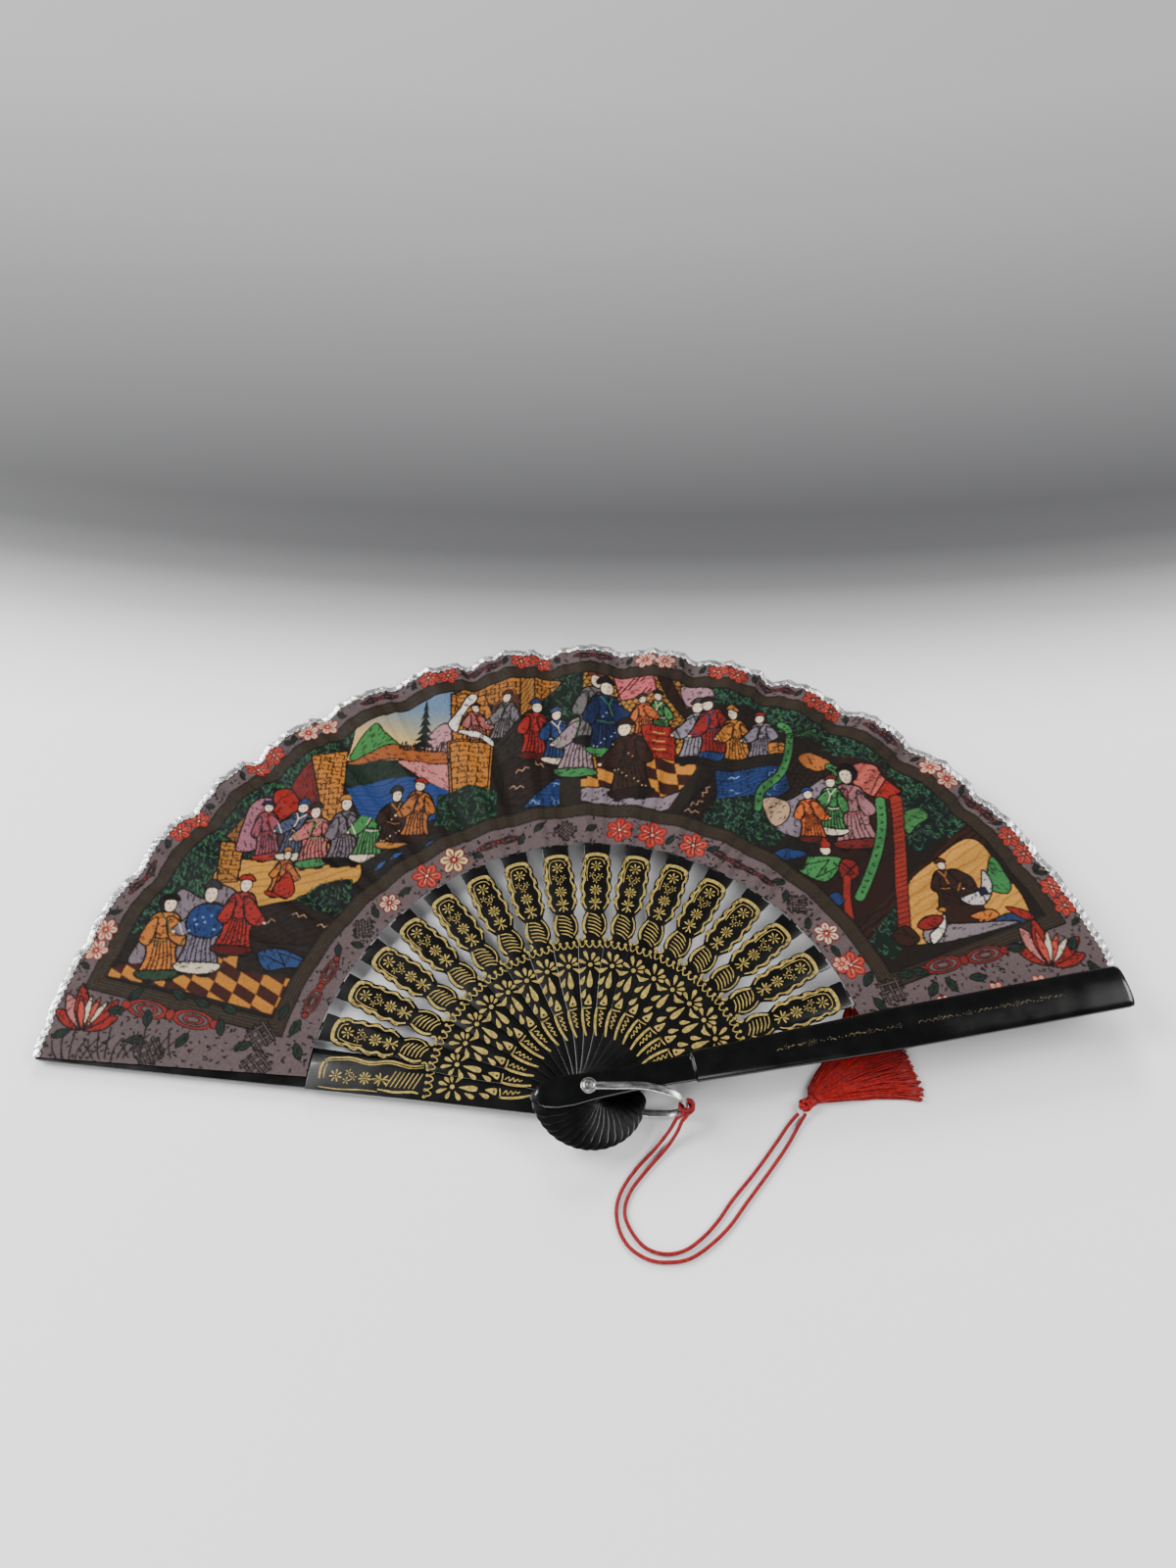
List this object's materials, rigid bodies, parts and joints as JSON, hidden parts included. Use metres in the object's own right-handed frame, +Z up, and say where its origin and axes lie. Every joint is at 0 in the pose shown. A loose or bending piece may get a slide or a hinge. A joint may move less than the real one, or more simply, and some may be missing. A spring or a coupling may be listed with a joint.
{
  "type": "folding hand fan",
  "caption": "Open folding hand fan: black lacquered sticks on a rivet, a pleated painted cloth leaf between two guards, a metal loop, and a doubled cord with a flat tassel.",
  "frame": {"origin": "middle of the flat underside of the rivet's lower cap, on the surface that the open fan lies on", "axes": "+Z up along the rivet; +X towards the front guard's side of the opening, along the fan's width; +Y out to the middle of the leaf"},
  "size_m": [0.3935, 0.2534, 0.0169],
  "materials": {
    "guard_lacquer": "high-gloss black lacquer on wood, with a line of small gold motifs",
    "stick_lacquer": "satin black lacquer on wood, printed with gold flowers",
    "leaf_cloth": "matt printed cloth in many colours with a mauve-grey border and a silver edge",
    "bail_metal": "worn satin white metal",
    "rivet_metal": "satin white metal",
    "cord": "twisted dark red cord",
    "tassel_silk": "combed red silk threads"
  },
  "bodies": {
    "back_side": {"back_guard": "guard_lacquer", "back_guard_blade": "stick_lacquer", "rivet_pin": "rivet_metal", "rivet_cap_lower": "rivet_metal", "rivet_cap_upper": "rivet_metal", "leaf_panel_00": "leaf_cloth"},
    "blade_01": {"stick_01": "stick_lacquer", "leaf_panel_01": "leaf_cloth"},
    "blade_02": {"stick_02": "stick_lacquer", "leaf_panel_02": "leaf_cloth"},
    "blade_03": {"stick_03": "stick_lacquer", "leaf_panel_03": "leaf_cloth"},
    "blade_04": {"stick_04": "stick_lacquer", "leaf_panel_04": "leaf_cloth"},
    "blade_05": {"stick_05": "stick_lacquer", "leaf_panel_05": "leaf_cloth"},
    "blade_06": {"stick_06": "stick_lacquer", "leaf_panel_06": "leaf_cloth"},
    "blade_07": {"stick_07": "stick_lacquer", "leaf_panel_07": "leaf_cloth"},
    "blade_08": {"stick_08": "stick_lacquer", "leaf_panel_08": "leaf_cloth"},
    "blade_09": {"stick_09": "stick_lacquer", "leaf_panel_09": "leaf_cloth"},
    "blade_10": {"stick_10": "stick_lacquer", "leaf_panel_10": "leaf_cloth"},
    "blade_11": {"stick_11": "stick_lacquer", "leaf_panel_11": "leaf_cloth"},
    "blade_12": {"stick_12": "stick_lacquer", "leaf_panel_12": "leaf_cloth"},
    "blade_13": {"stick_13": "stick_lacquer", "leaf_panel_13": "leaf_cloth"},
    "blade_14": {"stick_14": "stick_lacquer", "leaf_panel_14": "leaf_cloth"},
    "blade_15": {"stick_15": "stick_lacquer", "leaf_panel_15": "leaf_cloth"},
    "blade_16": {"stick_16": "stick_lacquer", "leaf_panel_16": "leaf_cloth"},
    "front_side": {"front_guard": "guard_lacquer", "front_guard_blade": "stick_lacquer", "leaf_panel_17": "leaf_cloth"},
    "loop": {"bail": "bail_metal"},
    "tassel_cord": {"cord_knot": "cord", "cord_strand_outer": "cord", "cord_strand_inner": "cord", "tassel_knot": "tassel_silk", "tassel_fringe": "tassel_silk"}
  },
  "joints": [
    {"name": "fan_fold", "type": "hinge", "parent": "back_side", "child": "blade_01", "pos_m": [0, 0, 0.0085], "axis": [0, 0, 1], "range_deg": [0, 9.6]},
    {"name": "fan_fold_02", "type": "hinge", "parent": "blade_01", "child": "blade_02", "pos_m": [0, 0, 0.0085], "axis": [0, 0, 1], "range_deg": [0, 9.6]},
    {"name": "fan_fold_03", "type": "hinge", "parent": "blade_02", "child": "blade_03", "pos_m": [0, 0, 0.0085], "axis": [0, 0, 1], "range_deg": [0, 9.6]},
    {"name": "fan_fold_04", "type": "hinge", "parent": "blade_03", "child": "blade_04", "pos_m": [0, 0, 0.0085], "axis": [0, 0, 1], "range_deg": [0, 9.6]},
    {"name": "fan_fold_05", "type": "hinge", "parent": "blade_04", "child": "blade_05", "pos_m": [0, 0, 0.0085], "axis": [0, 0, 1], "range_deg": [0, 9.6]},
    {"name": "fan_fold_06", "type": "hinge", "parent": "blade_05", "child": "blade_06", "pos_m": [0, 0, 0.0085], "axis": [0, 0, 1], "range_deg": [0, 9.6]},
    {"name": "fan_fold_07", "type": "hinge", "parent": "blade_06", "child": "blade_07", "pos_m": [0, 0, 0.0085], "axis": [0, 0, 1], "range_deg": [0, 9.6]},
    {"name": "fan_fold_08", "type": "hinge", "parent": "blade_07", "child": "blade_08", "pos_m": [0, 0, 0.0085], "axis": [0, 0, 1], "range_deg": [0, 9.6]},
    {"name": "fan_fold_09", "type": "hinge", "parent": "blade_08", "child": "blade_09", "pos_m": [0, 0, 0.0085], "axis": [0, 0, 1], "range_deg": [0, 9.6]},
    {"name": "fan_fold_10", "type": "hinge", "parent": "blade_09", "child": "blade_10", "pos_m": [0, 0, 0.0085], "axis": [0, 0, 1], "range_deg": [0, 9.6]},
    {"name": "fan_fold_11", "type": "hinge", "parent": "blade_10", "child": "blade_11", "pos_m": [0, 0, 0.0085], "axis": [0, 0, 1], "range_deg": [0, 9.6]},
    {"name": "fan_fold_12", "type": "hinge", "parent": "blade_11", "child": "blade_12", "pos_m": [0, 0, 0.0085], "axis": [0, 0, 1], "range_deg": [0, 9.6]},
    {"name": "fan_fold_13", "type": "hinge", "parent": "blade_12", "child": "blade_13", "pos_m": [0, 0, 0.0085], "axis": [0, 0, 1], "range_deg": [0, 9.6]},
    {"name": "fan_fold_14", "type": "hinge", "parent": "blade_13", "child": "blade_14", "pos_m": [0, 0, 0.0085], "axis": [0, 0, 1], "range_deg": [0, 9.6]},
    {"name": "fan_fold_15", "type": "hinge", "parent": "blade_14", "child": "blade_15", "pos_m": [0, 0, 0.0085], "axis": [0, 0, 1], "range_deg": [0, 9.6]},
    {"name": "fan_fold_16", "type": "hinge", "parent": "blade_15", "child": "blade_16", "pos_m": [0, 0, 0.0085], "axis": [0, 0, 1], "range_deg": [0, 9.6]},
    {"name": "fan_fold_17", "type": "hinge", "parent": "blade_16", "child": "front_side", "pos_m": [0, 0, 0.0085], "axis": [0, 0, 1], "range_deg": [0, 9.6]},
    {"name": "bail_swing", "type": "hinge", "parent": "back_side", "child": "loop", "pos_m": [0, 0, 0.0085], "axis": [0, 0, 1], "range_deg": [-85, 4]},
    {"name": "tassel_swing", "type": "hinge", "parent": "loop", "child": "tassel_cord", "pos_m": [0.03388, -0.00464, 0.0084], "axis": [0, 0, 1], "range_deg": [-15, 12]}
  ],
  "couplings": [
    {"joint": "fan_fold_02", "follows": "fan_fold", "ratio": 1},
    {"joint": "fan_fold_03", "follows": "fan_fold", "ratio": 1},
    {"joint": "fan_fold_04", "follows": "fan_fold", "ratio": 1},
    {"joint": "fan_fold_05", "follows": "fan_fold", "ratio": 1},
    {"joint": "fan_fold_06", "follows": "fan_fold", "ratio": 1},
    {"joint": "fan_fold_07", "follows": "fan_fold", "ratio": 1},
    {"joint": "fan_fold_08", "follows": "fan_fold", "ratio": 1},
    {"joint": "fan_fold_09", "follows": "fan_fold", "ratio": 1},
    {"joint": "fan_fold_10", "follows": "fan_fold", "ratio": 1},
    {"joint": "fan_fold_11", "follows": "fan_fold", "ratio": 1},
    {"joint": "fan_fold_12", "follows": "fan_fold", "ratio": 1},
    {"joint": "fan_fold_13", "follows": "fan_fold", "ratio": 1},
    {"joint": "fan_fold_14", "follows": "fan_fold", "ratio": 1},
    {"joint": "fan_fold_15", "follows": "fan_fold", "ratio": 1},
    {"joint": "fan_fold_16", "follows": "fan_fold", "ratio": 1},
    {"joint": "fan_fold_17", "follows": "fan_fold", "ratio": 1}
  ]
}
